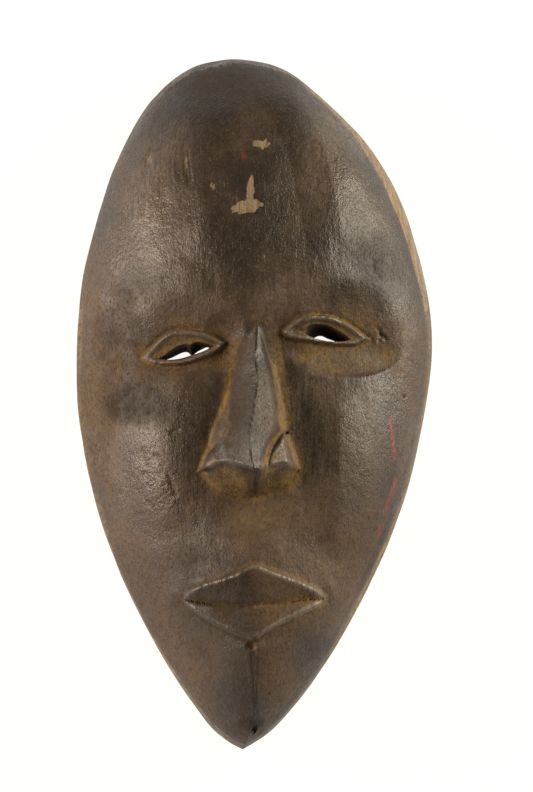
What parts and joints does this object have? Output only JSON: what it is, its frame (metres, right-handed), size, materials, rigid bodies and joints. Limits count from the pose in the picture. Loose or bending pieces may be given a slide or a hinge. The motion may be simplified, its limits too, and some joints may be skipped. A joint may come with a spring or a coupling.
{
  "type": "carved wooden face mask",
  "caption": "Carved wooden face mask, oval with a pointed chin, slit eyes, narrow nose and diamond mouth, hollow behind",
  "frame": {"origin": "middle of the outline, on the plane of the rim that the mask lies on", "axes": "+Z out of the face, +Y towards the crown, +X to the right as seen from the front"},
  "size_m": [0.128, 0.25, 0.064],
  "materials": {
    "carved_wood": "hardwood with a rubbed near-black brown patina and ochre dust in the recesses; the hollow is bare tooled wood"
  },
  "bodies": {
    "root": {"mask": "carved_wood"}
  },
  "joints": []
}
